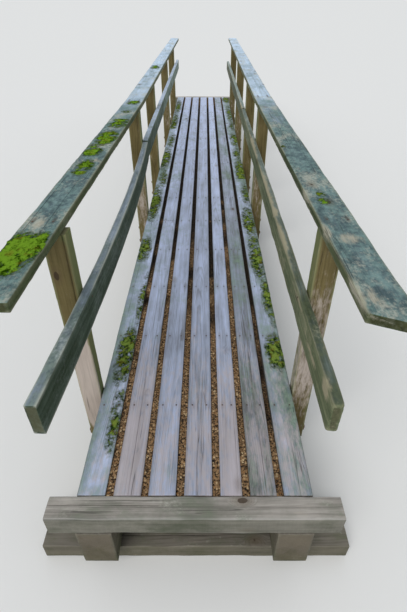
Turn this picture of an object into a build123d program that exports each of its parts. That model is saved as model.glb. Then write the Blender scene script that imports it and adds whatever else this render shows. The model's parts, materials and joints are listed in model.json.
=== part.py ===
from build123d import *
import os

# Timber footbridge: lengthwise deck planks on cross bearers and two main beams,
# with a post and rail parapet on each side.
# X runs across the bridge, +Y runs along it away from the near end, +Z is up.
# The ground that the bank seats lie on is at Z = 0.

# Ground supports and main beams, in millimetres
SEAT_LENGTH = 1400
SEAT_WIDTH = 200
SEAT_HEIGHT = 100
SEAT_INSET = 60
BEAM_LENGTH = 8250
BEAM_WIDTH = 150
BEAM_DEPTH = 250
BRIDGE_WIDTH = 980

# Cross bearers, evenly spaced between the first and the last, and end beams
BEARER_WIDTH = 90
BEARER_DEPTH = 75
BEARER_COUNT = 15
FIRST_BEARER_INSET = 570
LAST_BEARER_INSET = 330
END_BEAM_WIDTH = 100
END_BEAM_LENGTH = 1190
END_BEAM_EASED_EDGE = 6

# Deck planks: one lane is one line of planks laid end to end.
# A joint lies over the bearer nearest to its share of the way along the bearers.
PLANK_THICKNESS = 45
LANE_WIDTHS = [120, 115, 115, 119, 93, 112, 123]
LANE_GAPS = [30, 28, 32, 30, 30, 25]
LANE_JOINT_SHARES = [[0.71], [0.29, 0.57], [0.57, 0.79], [0.64], [0.71], [0.5], [0.43]]
JOINT_GAP = 4

# Posts: the first and last are set in from the bridge's ends, the rest stand at
# shares of the way between those two
POST_WIDTH = 100
POST_DEPTH = 75
POST_FOOT_BEVEL = 15
POST_HEIGHT_ABOVE_DECK = 905
FIRST_POST_INSET = {"left": 630, "right": 650}
LAST_POST_INSET = {"left": 740, "right": 680}
POST_SHARES = {"left": [0, 0.3227, 0.4985, 0.7762, 1], "right": [0, 0.3425, 0.5159, 0.7486, 1]}

# Cap rails, laid flat on the posts. The boards are not quite in line with the deck, so their
# inner edge is set out from the centre line at the near end, at the joint and at the far end.
CAP_WIDTH = 145
CAP_THICKNESS = 45
CAP_EASED_EDGE = 6
CAP_INNER_EDGE = {"left": [518, 457, 452], "right": [487, 451, 480]}
CAP_NEAR_INSET = {"left": 147, "right": 105}
CAP_NEAR_SKEW = {"left": 0, "right": 70}
CAP_FAR_OVERHANG = 240
CAP_JOINT_POST_NUMBER = {"left": 2, "right": 2}

# Mid rails, boards on edge against the inner faces of the posts. The left near board is
# sprung in plan: it bears on the first post and its free near end stands outwards.
RAIL_DEPTH = 145
RAIL_THICKNESS = 45
RAIL_TOP_ABOVE_DECK = {"left": 625, "right": 605}
RAIL_NEAR_INSET = {"left": 46, "right": 67}
RAIL_FAR_INSET = 110
RAIL_JOINT_POST_NUMBER = {"left": 2, "right": 3}
RAIL_FAR_LIFT = {"left": 12, "right": 8}
RAIL_NEAR_SPRING = {"left": 35, "right": 0}
SPRUNG_RAIL_CLEARANCE = 0.3

HALF_WIDTH = BRIDGE_WIDTH / 2
BEAM_TOP = SEAT_HEIGHT + BEAM_DEPTH
BEARER_TOP = BEAM_TOP + BEARER_DEPTH
DECK_TOP = BEARER_TOP + PLANK_THICKNESS
CAP_UNDERSIDE = DECK_TOP + POST_HEIGHT_ABOVE_DECK
NEAR_END = -(BEAM_LENGTH + CAP_FAR_OVERHANG) / 2
FAR_END = NEAR_END + BEAM_LENGTH
BEARER_PITCH = (BEAM_LENGTH - FIRST_BEARER_INSET - LAST_BEARER_INSET) / (BEARER_COUNT - 1)

SIDES = {"left": -1, "right": 1}

os.makedirs("parts", exist_ok=True)


def keep(piece, name):
    """Label a finished piece and write it as its own STEP file."""
    piece.label = name
    export_step(piece, f"parts/{name}.step")


def bearer_centre(number):
    """Middle of a cross bearer along the bridge; the nearest is number 0."""
    return NEAR_END + FIRST_BEARER_INSET + number * BEARER_PITCH


def post_near_face(side, number):
    """Near face of a post along the bridge; the nearest is number 1."""
    run = BEAM_LENGTH - FIRST_POST_INSET[side] - LAST_POST_INSET[side]
    return NEAR_END + FIRST_POST_INSET[side] + POST_SHARES[side][number - 1] * run


def post_centre(side, number):
    """Middle of a post along the bridge; the nearest is number 1."""
    return post_near_face(side, number) + POST_DEPTH / 2


# Bank seats: sleepers lying across under the ends of the main beams
seat_places = {
    "near": NEAR_END + SEAT_INSET + SEAT_WIDTH / 2,
    "far": FAR_END - SEAT_INSET - SEAT_WIDTH / 2,
}
for end, seat_y in seat_places.items():
    with BuildPart() as bank_seat:
        with BuildSketch(Plane.XY):
            with Locations((0, seat_y)):
                Rectangle(SEAT_LENGTH, SEAT_WIDTH)
        extrude(amount=SEAT_HEIGHT)
    keep(bank_seat.part, f"{end}_bank_seat")

# Main beams: two deep timbers, flush with the sides of the bridge
for side, sign in SIDES.items():
    with BuildPart() as main_beam:
        with BuildSketch(Plane.XY.offset(SEAT_HEIGHT)):
            with Locations((sign * (HALF_WIDTH - BEAM_WIDTH / 2), NEAR_END + BEAM_LENGTH / 2)):
                Rectangle(BEAM_WIDTH, BEAM_LENGTH)
        extrude(amount=BEAM_DEPTH)
    keep(main_beam.part, f"{side}_main_beam")

# End beams: one timber across each end, level with the deck, that the planks butt against
end_beam_places = {
    "near": NEAR_END + END_BEAM_WIDTH / 2,
    "far": FAR_END - END_BEAM_WIDTH / 2,
}
for end, beam_y in end_beam_places.items():
    with BuildPart() as end_beam:
        with BuildSketch(Plane.XY.offset(BEAM_TOP)):
            with Locations((0, beam_y)):
                Rectangle(END_BEAM_LENGTH, END_BEAM_WIDTH)
        extrude(amount=BEARER_DEPTH + PLANK_THICKNESS)
        fillet(end_beam.edges().filter_by(Axis.X).group_by(Axis.Z)[-1], END_BEAM_EASED_EDGE)
    keep(end_beam.part, f"{end}_end_beam")

# Cross bearers: short timbers over both main beams
for number in range(BEARER_COUNT):
    with BuildPart() as bearer:
        with BuildSketch(Plane.XY.offset(BEAM_TOP)):
            with Locations((0, bearer_centre(number))):
                Rectangle(BRIDGE_WIDTH, BEARER_WIDTH)
        extrude(amount=BEARER_DEPTH)
    keep(bearer.part, f"cross_bearer_{number + 1:02d}")

# Deck planks: each lane is a line of boards that meet over the bearers
deck_start = NEAR_END + END_BEAM_WIDTH
deck_end = FAR_END - END_BEAM_WIDTH
lane_edge = -(sum(LANE_WIDTHS) + sum(LANE_GAPS)) / 2
for lane, width in enumerate(LANE_WIDTHS):
    ends = [deck_start]
    for share in LANE_JOINT_SHARES[lane]:
        joint = bearer_centre(round(share * (BEARER_COUNT - 1)))
        ends += [joint - JOINT_GAP / 2, joint + JOINT_GAP / 2]
    ends.append(deck_end)
    with BuildPart() as planks:
        with BuildSketch(Plane.XY.offset(BEARER_TOP)):
            for start, stop in zip(ends[0::2], ends[1::2]):
                with Locations((lane_edge + width / 2, (start + stop) / 2)):
                    Rectangle(width, stop - start)
        extrude(amount=PLANK_THICKNESS)
    keep(planks.part, f"deck_lane_{lane + 1}")
    if lane < len(LANE_GAPS):
        lane_edge += width + LANE_GAPS[lane]

# Posts: bolted to the outer faces of the main beams, with a bevelled foot
for side, sign in SIDES.items():
    inner_face = sign * HALF_WIDTH
    outer_face = sign * (HALF_WIDTH + POST_WIDTH)
    for number in range(1, len(POST_SHARES[side]) + 1):
        with BuildPart() as post:
            with BuildSketch(Plane.XZ.offset(-post_centre(side, number))):
                with BuildLine():
                    Polyline(
                        (inner_face, SEAT_HEIGHT),
                        (outer_face - sign * POST_FOOT_BEVEL, SEAT_HEIGHT),
                        (outer_face, SEAT_HEIGHT + POST_FOOT_BEVEL),
                        (outer_face, CAP_UNDERSIDE),
                        (inner_face, CAP_UNDERSIDE),
                        close=True,
                    )
                make_face()
            extrude(amount=POST_DEPTH / 2, both=True)
        keep(post.part, f"{side}_post_{number}")

# Cap rails: two flat boards on each side, meeting over a post, with eased upper edges.
# The right one's near end is sawn askew, its outer corner nearest.
for side, sign in SIDES.items():
    near_edge, joint_edge, far_edge = CAP_INNER_EDGE[side]
    cap_start = NEAR_END + CAP_NEAR_INSET[side]
    cap_end = FAR_END + CAP_FAR_OVERHANG
    joint = post_centre(side, CAP_JOINT_POST_NUMBER[side])
    runs = {
        "near": (near_edge, cap_start, joint_edge, joint - JOINT_GAP / 2, CAP_NEAR_SKEW[side]),
        "far": (joint_edge, joint + JOINT_GAP / 2, far_edge, cap_end, 0),
    }
    for end, (start_edge, start, stop_edge, stop, skew) in runs.items():
        with BuildPart() as cap_rail:
            with BuildSketch(Plane.XY.offset(CAP_UNDERSIDE)):
                with BuildLine():
                    Polyline(
                        (sign * start_edge, start),
                        (sign * (start_edge + CAP_WIDTH), start - skew),
                        (sign * (stop_edge + CAP_WIDTH), stop),
                        (sign * stop_edge, stop),
                        close=True,
                    )
                make_face()
            extrude(amount=CAP_THICKNESS)
            upper_edges = cap_rail.edges().group_by(Axis.Z)[-1]
            fillet(upper_edges.sort_by(SortBy.LENGTH)[-2:], CAP_EASED_EDGE)
        keep(cap_rail.part, f"{side}_cap_rail_{end}")

# Mid rails: two boards on edge on each side, meeting at a post. The near board's outer face
# passes the first post's near corner and ends on the joint's post, along an arc where it springs.
for side, sign in SIDES.items():
    rail_middle = sign * (HALF_WIDTH - RAIL_THICKNESS / 2)
    rail_start = NEAR_END + RAIL_NEAR_INSET[side]
    rail_end = FAR_END - RAIL_FAR_INSET
    joint = post_centre(side, RAIL_JOINT_POST_NUMBER[side])
    rail_underside = DECK_TOP + RAIL_TOP_ABOVE_DECK[side] - RAIL_DEPTH
    with BuildPart() as near_rail:
        with BuildSketch(Plane.XY.offset(rail_underside)):
            free_end = (rail_middle + sign * RAIL_NEAR_SPRING[side], rail_start)
            bearing = (rail_middle - sign * SPRUNG_RAIL_CLEARANCE, post_near_face(side, 1))
            joint_end = (rail_middle, joint - JOINT_GAP / 2)
            with BuildLine():
                if RAIL_NEAR_SPRING[side] > 0:
                    ThreePointArc(free_end, bearing, joint_end)
                else:
                    Line(free_end, joint_end)
            trace(line_width=RAIL_THICKNESS)
        extrude(amount=RAIL_DEPTH)
    keep(near_rail.part, f"{side}_mid_rail_near")
    with BuildPart() as far_rail:
        with BuildSketch(Plane.XY.offset(rail_underside + RAIL_FAR_LIFT[side])):
            with Locations((rail_middle, (joint + JOINT_GAP / 2 + rail_end) / 2)):
                Rectangle(RAIL_THICKNESS, rail_end - joint - JOINT_GAP / 2)
        extrude(amount=RAIL_DEPTH)
    keep(far_rail.part, f"{side}_mid_rail_far")
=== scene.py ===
import json
import math

import bpy
import numpy as np
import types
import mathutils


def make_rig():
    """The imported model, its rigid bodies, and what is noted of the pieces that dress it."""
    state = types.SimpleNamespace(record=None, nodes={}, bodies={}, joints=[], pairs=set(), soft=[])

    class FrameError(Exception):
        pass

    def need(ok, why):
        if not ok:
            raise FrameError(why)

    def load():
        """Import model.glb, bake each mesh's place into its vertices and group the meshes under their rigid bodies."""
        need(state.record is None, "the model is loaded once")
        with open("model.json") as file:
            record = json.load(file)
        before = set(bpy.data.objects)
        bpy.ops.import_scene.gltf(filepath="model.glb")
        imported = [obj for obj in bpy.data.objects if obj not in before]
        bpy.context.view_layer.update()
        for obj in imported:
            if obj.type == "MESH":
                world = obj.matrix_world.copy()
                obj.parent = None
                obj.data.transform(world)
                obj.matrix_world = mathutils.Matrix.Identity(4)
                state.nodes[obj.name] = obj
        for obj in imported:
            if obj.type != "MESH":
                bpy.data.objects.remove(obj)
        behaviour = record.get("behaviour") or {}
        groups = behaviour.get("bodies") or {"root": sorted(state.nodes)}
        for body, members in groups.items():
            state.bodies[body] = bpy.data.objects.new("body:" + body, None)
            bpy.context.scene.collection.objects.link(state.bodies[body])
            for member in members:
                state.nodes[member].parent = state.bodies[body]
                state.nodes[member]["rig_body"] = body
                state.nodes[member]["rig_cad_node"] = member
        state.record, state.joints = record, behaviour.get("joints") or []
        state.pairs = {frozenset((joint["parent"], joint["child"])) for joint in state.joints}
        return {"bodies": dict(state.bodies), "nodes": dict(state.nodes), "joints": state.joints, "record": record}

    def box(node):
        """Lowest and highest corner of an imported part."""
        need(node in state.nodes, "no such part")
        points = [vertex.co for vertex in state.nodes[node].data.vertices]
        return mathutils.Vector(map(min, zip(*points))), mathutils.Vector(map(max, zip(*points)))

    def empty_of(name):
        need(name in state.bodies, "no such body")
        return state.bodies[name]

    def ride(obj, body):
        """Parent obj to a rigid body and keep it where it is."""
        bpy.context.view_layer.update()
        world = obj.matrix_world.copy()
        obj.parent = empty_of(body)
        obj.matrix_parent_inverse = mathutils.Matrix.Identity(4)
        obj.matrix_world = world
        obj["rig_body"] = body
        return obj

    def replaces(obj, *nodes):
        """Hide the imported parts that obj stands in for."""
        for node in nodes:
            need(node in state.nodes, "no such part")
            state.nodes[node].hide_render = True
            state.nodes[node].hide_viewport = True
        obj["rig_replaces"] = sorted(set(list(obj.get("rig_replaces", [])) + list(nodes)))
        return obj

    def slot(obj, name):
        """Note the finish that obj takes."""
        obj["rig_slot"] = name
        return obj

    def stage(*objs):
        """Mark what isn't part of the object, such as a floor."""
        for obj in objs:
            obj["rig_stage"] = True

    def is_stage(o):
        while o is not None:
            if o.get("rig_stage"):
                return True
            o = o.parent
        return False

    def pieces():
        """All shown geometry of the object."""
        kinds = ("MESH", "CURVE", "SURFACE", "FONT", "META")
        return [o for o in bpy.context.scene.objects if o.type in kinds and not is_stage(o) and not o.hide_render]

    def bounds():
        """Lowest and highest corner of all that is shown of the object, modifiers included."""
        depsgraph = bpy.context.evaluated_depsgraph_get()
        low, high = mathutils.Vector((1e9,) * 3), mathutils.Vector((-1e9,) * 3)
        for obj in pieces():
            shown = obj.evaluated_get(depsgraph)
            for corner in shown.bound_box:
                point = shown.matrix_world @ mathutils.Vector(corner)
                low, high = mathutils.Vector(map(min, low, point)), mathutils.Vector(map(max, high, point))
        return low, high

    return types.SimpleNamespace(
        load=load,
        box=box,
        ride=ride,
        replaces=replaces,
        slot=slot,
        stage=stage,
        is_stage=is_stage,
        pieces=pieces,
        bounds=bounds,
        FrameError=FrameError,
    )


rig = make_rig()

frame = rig.load()
cad_low, cad_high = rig.bounds()

# The view: someone stands on the walkway just behind its near end, a little right of the middle,
# and looks down along the planks. The picture is 407 wide and 612 high, one radian at its middle
# covers VIEW_SCALE of those pixels, and the planks run towards a point PIXELS_TO_HORIZON above it.
PICTURE_HEIGHT = 612
VIEW_SCALE = 420
PIXELS_TO_HORIZON = 315
RIGHT_SHIFT_PIXELS = 1.5
EYE_ABOVE_DECK = 1.65
EYE_RIGHT_OF_MIDDLE = 0.041
EYE_BEHIND_NEAR_END = 0.81
SENSOR_HEIGHT = 36

deck_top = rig.box("deck_lane_4")[1].z
near_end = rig.box("near_end_beam")[0].y
far_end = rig.box("far_end_beam")[1].y

lens = bpy.data.cameras.new("walkers_view")
lens.sensor_fit = "VERTICAL"
lens.sensor_height = SENSOR_HEIGHT
lens.lens = SENSOR_HEIGHT * VIEW_SCALE / PICTURE_HEIGHT
lens.shift_x = -RIGHT_SHIFT_PIXELS / PICTURE_HEIGHT
lens.clip_end = 500
camera = bpy.data.objects.new("walkers_view", lens)
camera.location = (EYE_RIGHT_OF_MIDDLE, near_end - EYE_BEHIND_NEAR_END, deck_top + EYE_ABOVE_DECK)
camera.rotation_euler = (math.pi / 2 - math.atan(PIXELS_TO_HORIZON / VIEW_SCALE), 0, 0)
bpy.context.scene.collection.objects.link(camera)
bpy.context.scene.camera = camera


# Bank seats: two sleepers lying across under the beam ends. They are rough sawn softwood, dark
# from damp ground, with drying cracks along their tops. Each is laid on the bank and the beams
# bear on it. This first section also holds what every timber is shaped and coloured with.
def drift(u, v, seed):
    """Smooth noise from -1 to 1 over two coordinates: random values at the whole numbers, blended
    between the four round each point with the s-shaped weight 3t^2 - 2t^3."""
    table = np.random.default_rng(seed).uniform(-1.0, 1.0, (256, 256))
    u, v = np.broadcast_arrays(u, v)
    column, row = np.floor(u).astype(int), np.floor(v).astype(int)
    s, t = u - column, v - row
    s, t = s * s * (3 - 2 * s), t * t * (3 - 2 * t)
    column, row, next_column, next_row = (place % 256 for place in (column, row, column + 1, row + 1))
    low = table[column, row] * (1 - s) + table[next_column, row] * s
    high = table[column, next_row] * (1 - s) + table[next_column, next_row] * s
    return low * (1 - t) + high * t


ARRIS_CLEARANCE = 0.0075
CRACK_SHOULDER = 0.0016


def face_places(size, spacing, beside=(0.0015, 0.0045), cracks=(), columns=()):
    """Places across one face of a timber: evenly spaced, closer beside both arrises, three close
    together at each crack, and one at each column of nails. The last arris is left to the next face."""
    half = size / 2
    beside = np.array(beside)
    even = np.linspace(-half, half, max(3, round(size / spacing)) + 1)
    even = even[np.abs(even) < half - ARRIS_CLEARANCE]
    split = [crack + away for crack in cracks for away in (-CRACK_SHOULDER, 0.0, CRACK_SHOULDER)]
    places = np.unique(np.concatenate([[-half], beside - half, even, split, columns, half - beside]))
    return places[np.diff(places, prepend=-size) > 0.0001]


def section_outline(width, depth, spacing, cracks, columns):
    """A squared timber's section as flat points: over the top face from left to right, down the
    right side, back along the underside and up the left side."""
    top = face_places(width, spacing, (0.0012, 0.003, 0.0055), cracks, columns)
    under = face_places(width, spacing * 4)
    side = face_places(depth, spacing * 1.5)
    right = np.full(len(side), width / 2)
    high = np.full(len(top), depth / 2)
    low = np.full(len(under), -depth / 2)
    across = np.concatenate([top, right, -under, -right])
    height = np.concatenate([high, -side, low, side])
    return across, height


MOSSY_STEP = 0.0075
MOSSY_REACH = 1.2
END_CLEARANCE = 0.012


def lengthwise_places(length, step, end_wear, place_of_start, mossy, rows):
    """Places along a timber: evenly spaced, close together in the worn stretch at both ends and
    where moss grows, and one at each row of nails."""
    ends = end_wear * np.array([0.0, 0.12, 0.35, 0.65, 1.0])
    even = np.linspace(END_CLEARANCE, length - END_CLEARANCE, max(4, round(length / step)))
    close = np.arange(END_CLEARANCE, length - END_CLEARANCE, MOSSY_STEP)
    patches = np.reshape(mossy, (-1, 5))

    def in_moss(places):
        """Whether each place lies within MOSSY_REACH half lengths of the middle of a patch."""
        away = np.abs(places[:, None] + place_of_start - patches[:, 0]) / patches[:, 1]
        return (away < MOSSY_REACH).any(1)

    places = np.concatenate([even[~in_moss(even)], close[in_moss(close)], rows])
    beyond = end_wear + 0.004
    places = places[(places > beyond) & (places < length - beyond)]
    places = np.unique(np.round(np.concatenate([ends, places, length - ends]), 4))
    return places[np.diff(places, prepend=-1) > 0.0005][:, None]


def moss_field(along, across, width, patches, seed):
    """How thickly moss grows: for each patch 1 less the distance from its middle in patch radii,
    times its strength, the highest of all patches, made ragged by noise of three sizes. A patch is
    (middle along, half length, middle across as a share of the half width, half width share, strength)."""
    field = np.zeros(np.broadcast(along, across).shape)
    for middle, half_length, side, half_width, strength in patches:
        reach = np.hypot((along - middle) / half_length, (across / (width / 2) - side) / half_width)
        field = np.maximum(field, strength * np.clip(1.25 - reach, 0, 1))
    ragged = (0.5 * drift(along / 0.05, across / 0.04, seed)
              + 0.35 * drift(along / 0.021, across / 0.018, seed + 1)
              + 0.2 * drift(along / 0.009, across / 0.009, seed + 2))
    return field * (0.9 + 1.1 * ragged)


def spot_field(along, across, height, spots):
    """Rounded spots anywhere on a timber's skin: strength at each middle, falling evenly to 0 at its
    edge, which lies half_length away along the timber and radius away round it, and at most 1.2. A
    spot is (middle along, half length, middle across, middle height, radius, strength)."""
    field = np.zeros(np.broadcast(along, across).shape)
    for middle, half_length, side, level, radius, strength in spots:
        reach = np.sqrt(((along - middle) / half_length) ** 2 + ((across - side) / radius) ** 2
                        + ((height - level) / radius) ** 2)
        field = np.maximum(field, np.clip(strength * (1.0 - reach), 0, 1.2))
    return field


CRACK_HALF_WIDTH = 0.0014


def crack_field(s, across, cracks, length, seed, random):
    """How open the drying cracks are, from 0 to 1. Each has a run of its own along the timber, opens
    over 0.15 m at both ends of that run, and closes evenly to both sides of its middle."""
    field = 0
    for number, middle in enumerate(cracks):
        first = random.uniform(-0.2, 0.8) * length
        last = first + random.uniform(0.25, 1.1)
        open_run = np.clip(np.minimum(s - first, last - s) / 0.15, 0, 1)
        open_run = open_run * (0.6 + 0.4 * drift(s / 0.05, number, seed))
        field = field + open_run * np.clip(1 - np.abs(across - middle) / CRACK_HALF_WIDTH, 0, 1)
    return field


# how large the rings of an end face are beside the section, from its arris inwards
END_RINGS = np.array([0.86, 0.6, 0.34, 0.12])[:, None]


def close_ends(rings, rough):
    """Rings of points (lengthwise, across, height) along a timber, and the rings of its two end faces:
    the first and the last ring drawn in towards the middle, with saw marks rough deep."""
    near, far = rings[0] * END_RINGS[..., None], rings[-1] * END_RINGS[..., None]
    near[..., 0] = near[..., 0] + rings[0, :, 0].mean() * (1 - END_RINGS) + rough
    far[..., 0] = rings[-1, :, 0] - rough
    return np.concatenate([near[::-1], rings, far])


def band_faces(rings, around):
    """Four-sided faces that join each ring of points to the next."""
    ring, here = np.arange(rings - 1)[:, None] * around, np.arange(around)
    following = np.roll(here, -1)
    faces = [ring + here, ring + following, ring + around + following, ring + around + here]
    return np.stack(faces, -1).reshape(-1, 4)


def pole_faces(rings, around):
    """Two fans of three-sided faces that close the first and the last ring, each round a pole. The
    two poles come after all the rings."""
    here, last, poles = np.arange(around), (rings - 1) * around, rings * around
    following = np.roll(here, -1)
    near = np.stack([following, here, np.full(around, poles)], -1)
    far = np.stack([last + here, last + following, np.full(around, poles + 1)], -1)
    return near, far


def smooth_piece(name, points, *faces):
    """A smooth-shaded mesh object in the scene, from points and arrays of faces."""
    mesh = bpy.data.meshes.new(name)
    mesh.from_pydata(points.tolist(), [], [face for part in faces for face in part.tolist()])
    mesh.polygons.foreach_set("use_smooth", np.ones(len(mesh.polygons), bool))
    piece = bpy.data.objects.new(name, mesh)
    bpy.context.scene.collection.objects.link(piece)
    return piece


CRACK_DEPTH = 0.005
MOSS_HEIGHT = 0.0042
BARE_DEPTH = 0.0006
SAW_ROUGHNESS = 0.0007
SMALLEST_ARRIS = 0.0012
ARRIS_BAND = 0.012
SKEWED_STRETCH = 0.35


def timber(name, start, stop, width, depth, up, seed, grime, spacing=0.0065, step=0.03, arris=0.003,
           ridge=0.0004, sag=None, crack_count=2, skew=0.0, mossy=(), bare=(), shade=0.0, paling=0.0,
           end_wear=0.0022, nail_rows=(), nail_columns=()):
    """A weathered squared timber as a surface of two parameters, s along it and p round its section.
    The section is a rounded rectangle: each flat point is pulled to the arris radius from the
    nearest point of an inner rectangle, then moved in or out by the relief. The relief is noise
    stretched along the grain, with drying cracks cut into the top face and moss raised on it.
    Rings of the same section, drawn in towards the middle, close both ends, and the last stretch
    before each is worn to a quarter round of radius end_wear. The timber is lighter by shade, which
    holds its own tone and painted light, and by paling more for each metre along, a painted
    reflection of the sky that pales its far end. Places along are measured from the middle of the
    bridge, or up from the ground in a post."""
    random = np.random.default_rng(seed)
    start, stop, up = np.array([start, stop, up], float)
    length = np.linalg.norm(stop - start)
    along_axis = (stop - start) / length
    across_axis = np.cross(along_axis, up)
    across_axis /= np.linalg.norm(across_axis)
    place_of_start = start @ along_axis
    rows = np.array(nail_rows) - place_of_start

    s = lengthwise_places(length, step, end_wear, place_of_start, mossy, rows)
    cracks = random.uniform(-0.38, 0.38, crack_count) * width
    across, height = section_outline(width, depth, spacing, cracks, nail_columns)
    p = np.cumsum(np.hypot(np.diff(across, prepend=across[0]), np.diff(height, prepend=height[0])))
    place = s + place_of_start
    on_top = height > depth / 2 - 1e-6

    # the section: its grain and cracks wander a little along the top, and its arrises are rounded
    wander = 0.5 * spacing * drift(s / 0.5, 0.5, seed + 1) * (1 - (2 * across / width) ** 2)
    flat_across = across + np.where(on_top, wander, 0)
    corner = (across > 0) + 2 * (height > 0)
    radius = arris * (1.1 + 0.6 * drift(s / 0.11, corner * 7.3, seed + 2)
                      + 0.35 * drift(s / 0.03, corner * 3.1, seed + 3))
    radius = np.clip(radius, SMALLEST_ARRIS, 0.45 * min(width, depth))
    core_across = np.clip(flat_across, radius - width / 2, width / 2 - radius)
    core_height = np.clip(height, radius - depth / 2, depth / 2 - radius)
    out_across, out_height = flat_across - core_across, height - core_height
    flat_reach = np.hypot(out_across, out_height)

    # the relief: grain, cracks, tufts of moss and shallow bare spots
    grain = (0.7 * drift(p / 0.0062, s / 0.3, seed + 4) + 0.5 * drift(p / 0.017, s / 0.6, seed + 5)
             + 1.6 * drift(p / 0.11, s / 0.4, seed + 6) - 2.8)
    crack = np.where(on_top, crack_field(s, across, cracks, length, seed + 7, random), 0)
    moss = np.where(on_top, moss_field(place, across, width, mossy, seed + 8), 0)
    tufts = (0.6 + 0.5 * drift(s / 0.017, across / 0.015, seed + 11)
             + 0.35 * drift(s / 0.0085, across / 0.008, seed + 12))
    moss_rise = MOSS_HEIGHT * np.clip((moss - 0.3) * 2.2, 0, 1) * np.clip(tufts, 0.1, 1)
    bare_and_sunlit_spots = spot_field(place, across, height, bare)
    relief = ridge * grain - CRACK_DEPTH * crack + moss_rise - BARE_DEPTH * np.clip(bare_and_sunlit_spots, 0, 1)
    reach = radius + relief

    # both ends: worn round, the near one sawn askew by skew, and closed by end faces
    worn = end_wear * (1 - np.sqrt(1 - np.clip(1 - np.minimum(s, length - s) / end_wear, 0, 1) ** 2))
    worn = worn * (0.75 + 0.5 * drift(p / 0.04, s / 0.02, seed + 15))
    section_across = (core_across + out_across / flat_reach * reach) * (1 - 2 * worn / width)
    section_height = (core_height + out_height / flat_reach * reach) * (1 - 2 * worn / depth)
    askew = skew * (section_across + width / 2) / width * np.clip(1 - s / SKEWED_STRETCH, 0, 1)
    rough = SAW_ROUGHNESS * (1 + drift(END_RINGS * 5, p / 0.03, seed + 10))
    rings = close_ends(np.stack([s + askew, section_across, section_height], -1), rough)
    lengthwise, section_across, section_height = rings.transpose(2, 0, 1)

    middle = start + lengthwise[..., None] * along_axis
    if sag is not None:
        middle = middle + sag(np.clip(lengthwise / length, 0, 1))[..., None] * across_axis
    points = middle + section_across[..., None] * across_axis + section_height[..., None] * up
    points = np.concatenate([points.reshape(-1, 3), points[[0, -1]].mean(1)])
    size = lengthwise.shape
    piece = smooth_piece(name, points, band_faces(*size), *pole_faces(*size))

    def hold(label, *channels):
        """Keep three values at every vertex of the skin, and their means at the two poles."""
        values = np.stack(channels, -1)
        values = np.concatenate([values.reshape(-1, 3), values[[0, -1]].mean(1)]).astype(np.float32)
        piece.data.attributes.new(label, "FLOAT_VECTOR", "POINT").data.foreach_set("vector", values.ravel())

    def spread(values, at_ends=None):
        """Values on the long faces, carried on over the end faces unless those have a value of
        their own."""
        how = {"mode": "edge"} if at_ends is None else {"constant_values": at_ends}
        return np.pad(values + 0 * relief, ((len(END_RINGS),) * 2, (0, 0)), **how)

    hold("board", *(rings + random.uniform(-9, 9, 3)).transpose(2, 0, 1))
    # the tree's middle lay below the board and not quite along it, so rings run out as long arches
    pith_across = random.uniform(-0.3, 0.3) * width + 0.02 * drift(lengthwise / 0.9, 0.3, seed + 13)
    pith_below = depth * random.uniform(0.6, 1.6) + 0.022 * drift(lengthwise / 1.1, 0.7, seed + 14)
    hold("log", lengthwise, section_across - pith_across, section_height + pith_below)
    from_arris = np.maximum(width / 2 - np.abs(across), depth / 2 - np.abs(height))
    near_arris = np.clip(1 - from_arris / ARRIS_BAND, 0, 1)
    hold("marks", spread(moss, 0), spread(near_arris, 0), spread(crack, 0))
    soil = grime(place, across, height)
    # the third channel: the timber's tone with painted light, plus the painted sky reflection along it
    hold("state", spread(soil), spread(bare_and_sunlit_spots), shade + paling * lengthwise)
    nail_along = nail_across = 1.0
    if len(rows):
        nail_along = np.abs(s - rows).min(1)[:, None]
        nail_across = np.where(on_top, np.abs(across - np.array(nail_columns)[:, None]).min(0), 1)
    hold("nails", spread(nail_along, 1), spread(nail_across, 1), spread(0, 1))
    return piece


def paint(colour):
    """A colour as it looks on screen, 0 to 255, in the linear light values that a shader takes."""
    value = np.array(colour) / 255
    linear = np.where(value < 0.04045, value / 12.92, ((value + 0.055) / 1.055) ** 2.4)
    return (*linear.tolist(), 1.0)


def fill(node, sockets):
    """Set each of a node's named or numbered inputs, or link it to what another node gives."""
    for socket, value in sockets.items():
        if isinstance(value, Given):
            node.id_data.links.new(value.socket, node.inputs[socket])
        else:
            node.inputs[socket].default_value = value


def put(tree, kind, sockets, output=0, **options):
    """Add a shader node with its options and its inputs; returns what it gives by one output."""
    made = tree.nodes.new("ShaderNode" + kind)
    for option, value in options.items():
        setattr(made, option, value)
    fill(made, sockets)
    return Given(made, output)


def blend(tree, share, first, second):
    """Two colours mixed: the first where share is 0, the second where it is 1. Each is given by a
    node, or written as it looks on screen."""
    first, second = (paint(colour) if isinstance(colour, tuple) else colour for colour in (first, second))
    return put(tree, "Mix", {0: share, 6: first, 7: second}, output=2, data_type="RGBA")


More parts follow.
